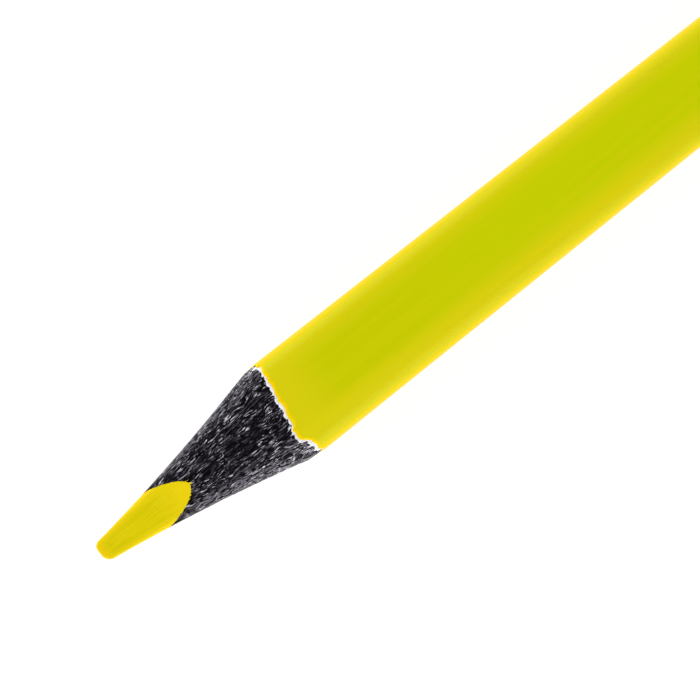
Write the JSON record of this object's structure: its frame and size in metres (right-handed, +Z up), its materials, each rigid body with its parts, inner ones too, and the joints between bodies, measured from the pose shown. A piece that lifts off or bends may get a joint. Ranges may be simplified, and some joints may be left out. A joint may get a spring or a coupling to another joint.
{
  "type": "carpenter pencil",
  "caption": "Flat carpenter pencil with a fluorescent yellow lacquered barrel, black wood and a thick yellow lead, sharpened to a blunt four-sided point.",
  "frame": {"origin": "centre of the pencil's outline in plan, on the surface that its lower broad face rests on", "axes": "+X along the pencil towards the point, +Y across its width, +Z up through its thickness"},
  "size_m": [0.178, 0.013, 0.0072],
  "materials": {
    "lead": "waxy fluorescent yellow lead, burnished by sharpening",
    "glue": "dark dried wood glue",
    "wood": "softwood dyed black all through, cut and chipped at the point",
    "primer": "matt white undercoat",
    "colour": "fluorescent yellow-green lacquer",
    "varnish": "thin gloss top coat over the colour"
  },
  "bodies": {
    "root": {"lead_core": "lead", "groove_glue": "glue", "left_seam_glue": "glue", "right_seam_glue": "glue", "upper_slat": "wood", "lower_slat": "wood", "primer_coat": "primer", "colour_coat": "colour", "clear_coat": "varnish"}
  },
  "joints": []
}
